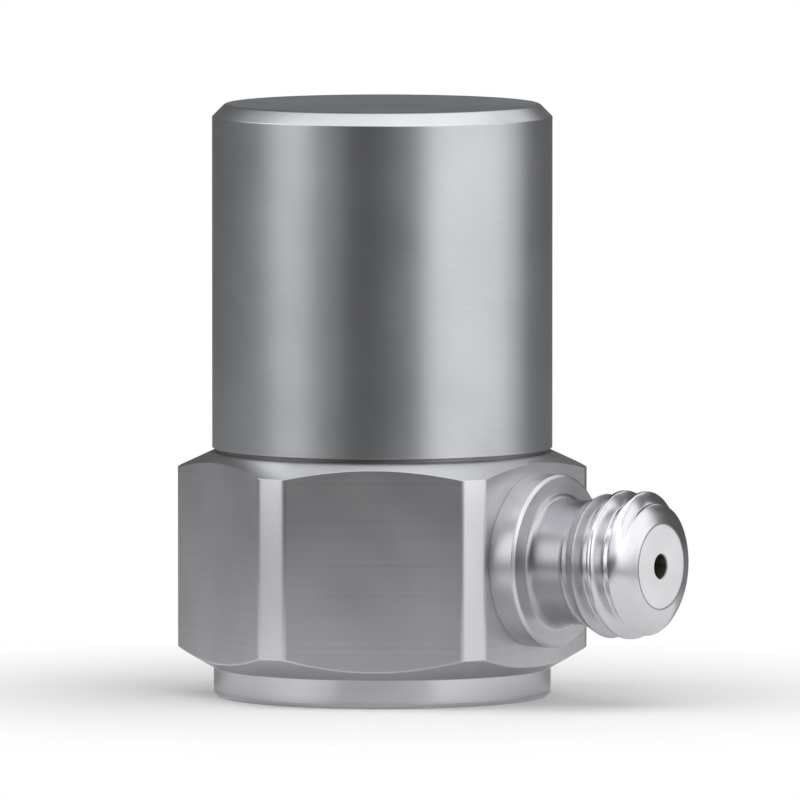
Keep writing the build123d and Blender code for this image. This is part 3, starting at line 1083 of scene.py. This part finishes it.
@dataclass(frozen=True)
class LightTent:
    """A round tent of white cloth over the sensor, lit from outside by soft lamps."""

    radius: float = 400.0
    columns: int = 120
    rows: int = 36
    lamps: tuple[TentLamp, ...] = (
        # Overhead, over the sensor and the front but not behind it: it lights the chamfer and the cone.
        TentLamp(9, 127, 49.3, 150, 1.57),
        # Its back edge, high over the sensor: the rounding between the cover's chamfer and its top.
        TentLamp(186, 50, 76, 150, 1.0),
        # The main soft box on the right, from the table up: the broad bright band on the cover.
        TentLamp(69.9, 37.5, 0, 44.2, 1.38),
        # A narrow one on the left, a little above the table: the left band, and the line along the jack.
        TentLamp(-64.1, 15.3, 3.3, 34.4, 1.67),
        # Weaker fill above it.
        TentLamp(-68.8, 40.8, 32.2, 45.4, 0.52),
        # A rim lamp at the far left.
        TentLamp(-98.1, 12.2, 16.8, 50.8, 2.28),
        # Fill on the front right, above the camera's height: the white thread crests.
        TentLamp(24.2, 20.2, 13.3, 53.3, 1.07),
        # Two small ones behind, for the ends of the cover's chamfer.
        TentLamp(137, 13, 29, 53, 1.1),
        TentLamp(-127, 12, 28, 50, 0.35),
        # What the room's walls throw back on the cloth.
        TentLamp(0, 190, -40, 58, 0.1),
    )

    def build(self) -> Object:
        """Puts the tent up."""
        bm = bmesh.new()
        glow = bm.verts.layers.float.new("glow")
        turns = [360 * i / self.columns for i in range(self.columns)]
        rises = [90 * j / self.rows for j in range(self.rows)]
        rings = [[VIEW.bearing(turn, rise) * self.radius * MM for turn in turns] for rise in rises]
        ring_grid(bm, [*rings, [Vector((0, 0, self.radius * MM))]])
        for vertex in bm.verts:
            turn, rise = VIEW.sight(vertex.co)
            vertex[glow] = sum(lamp.glow(turn, rise) for lamp in self.lamps)
        tent = new_object("light_tent", bm)
        tent.visible_camera = False
        material, tree, shader = new_material("tent_cloth_backlit")
        tree.nodes.remove(shader)
        share = add_node(tree, "Attribute", attribute_name="glow").outputs["Fac"]
        cloth = add_node(tree, "Emission", {"Color": linear("ffffff"), "Strength": share})
        feed(tree.nodes["Material Output"], {"Surface": cloth})
        tent.data.materials.append(material)
        return tent


@dataclass(frozen=True)
class FloorCard:
    """A matt card on the floor that only shows mirrored in the metal."""

    name: str
    left: float
    right: float
    inner: float
    outer: float
    tone: str
    widest_step: float = 3

    def build(self) -> Object:
        """Lays the card."""
        bm = bmesh.new()
        columns = math.ceil((self.right - self.left) / self.widest_step)
        turns = [self.left + (self.right - self.left) * i / columns for i in range(columns + 1)]
        near, far = (
            [bm.verts.new(VIEW.bearing(turn) * radius * MM) for turn in turns]
            for radius in (self.inner, self.outer)
        )
        for i in range(columns):
            bm.faces.new([near[i], near[i + 1], far[i + 1], far[i]])
        card = new_object(self.name, bm)
        card.visible_camera = card.visible_diffuse = card.visible_shadow = False
        material, _, shader = new_material(f"{self.name}_matt")
        feed(shader, {"Base Color": linear(self.tone), "Roughness": MATT_ROUGHNESS})
        card.data.materials.append(material)
        return card


@dataclass
class Studio:
    """The floor, the light tent over it and the cards on it."""

    floor_span: float = 3000.0
    floor_drop: float = 0.01
    ambient: float = 0.35
    shadow_share: float = 0.1
    shadow_inner: float = 5.6
    shadow_outer: float = 24.0
    tent: LightTent = field(default_factory=LightTent)
    # What the sides and the base mirror: each card's bearings, inner and outer radius, and tone.
    cards: tuple[FloorCard, ...] = (
        # The next three cards are painted shadow. They are grey sheets round the foot, where the sensor's
        # shadow falls on the floor, and they are seen only mirrored in the base.
        FloorCard("foot_shadow_card", -180, 180, 5.6, 6.1, "b6b6b7"),
        FloorCard("front_near_shadow_card", -22, 24, 7, 12, "bababb"),
        FloorCard("back_near_shadow_card", 105, 255, 7, 26, "a8a8a9"),
        FloorCard("front_card", -26, 25, 22, 390, "1a1a1b"),
        FloorCard("left_near_card", -90, -26, 22, 40, "939393"),
        FloorCard("left_middle_card", -90, -26, 40, 80, "333334"),
        FloorCard("left_far_card", -90, -26, 80, 390, "d0d0d0"),
        FloorCard("right_card", 25, 90, 40, 80, "868687"),
        FloorCard("back_card", 90, 200, 26, 390, "7c7c7c"),
        FloorCard("back_left_card", 200, 270, 26, 75, "b2b2b3"),
        FloorCard("back_left_far_card", 200, 270, 75, 390, "7c7c7c"),
    )

    def floor(self) -> Object:
        """Lays the pale floor, which fades to white away from the sensor and is clear from below."""
        half, drop = self.floor_span * MM / 2, self.floor_drop * MM
        corners = [(-half, -half), (half, -half), (half, half), (-half, half)]
        bm = bmesh.new()
        bm.faces.new([bm.verts.new((x, y, -drop)) for x, y in corners])
        floor = new_object("floor", bm)
        material, tree, shader = new_material("painted_board_matt")
        feed(shader, {"Base Color": linear("f2f2f2"), "Roughness": MATT_ROUGHNESS})
        place = add_node(tree, "TexCoord").outputs["Object"]
        away = add_node(tree, "VectorMath", {0: place}, operation="LENGTH").outputs["Value"]
        run = {0: away, 1: self.shadow_inner * MM, 2: self.shadow_outer * MM, 3: self.shadow_share, 4: 1.0}
        fade = add_node(tree, "MapRange", run, interpolation_type="SMOOTHSTEP")
        share = reckon(tree, "MULTIPLY", fade, self.seen(tree))
        white = add_node(tree, "Emission", {"Color": linear("ffffff"), "Strength": 1.0})
        mixed = add_node(tree, "MixShader", {0: share, 1: shader, 2: white})
        below = add_node(tree, "NewGeometry").outputs["Backfacing"]
        clear = add_node(tree, "BsdfTransparent")
        shown = add_node(tree, "MixShader", {0: below, 1: mixed, 2: clear})
        feed(tree.nodes["Material Output"], {"Surface": shown})
        floor.data.materials.append(material)
        return floor

    def seen(self, tree: Tree) -> Node:
        """Adds a node that is 1 where a ray shows the background: seen, mirrored or through glass."""
        rays = add_node(tree, "LightPath").outputs
        glossy = reckon(tree, "MAXIMUM", rays["Is Camera Ray"], rays["Is Glossy Ray"])
        return reckon(tree, "MAXIMUM", glossy, rays["Is Transmission Ray"])

    def world(self) -> None:
        """Lights the room evenly and shows white where nothing stands."""
        world = bpy.data.worlds.new("room")
        bpy.context.scene.world = world
        world.use_nodes = True
        tree = world.node_tree
        strength = add_node(tree, "MapRange", {0: self.seen(tree), 1: 0.0, 2: 1.0, 3: self.ambient, 4: 1.0})
        feed(tree.nodes["Background"], {"Color": linear("ffffff"), "Strength": strength})

    def build(self) -> None:
        """Sets up the whole studio."""
        self.floor()
        self.world()
        for piece in (self.tent, *self.cards):
            log.info("%s stands", piece.build().name)
        bpy.context.scene.view_settings.view_transform = "Standard"


def main() -> None:
    """Builds the sensor and its studio, and reports each piece."""
    logging.basicConfig(level=logging.INFO, format="%(message)s")
    VIEW.build()
    for part in (HousingBase(), CaseCover(), Jack()):
        piece = part.build()
        log.info("%s: %d faces", piece.name, len(piece.data.polygons))
    for group in (JACK_INSERT, SENSING_ELEMENT, AMPLIFIER):
        group.dress()
    Studio().build()


if __name__ == "__main__":
    main()
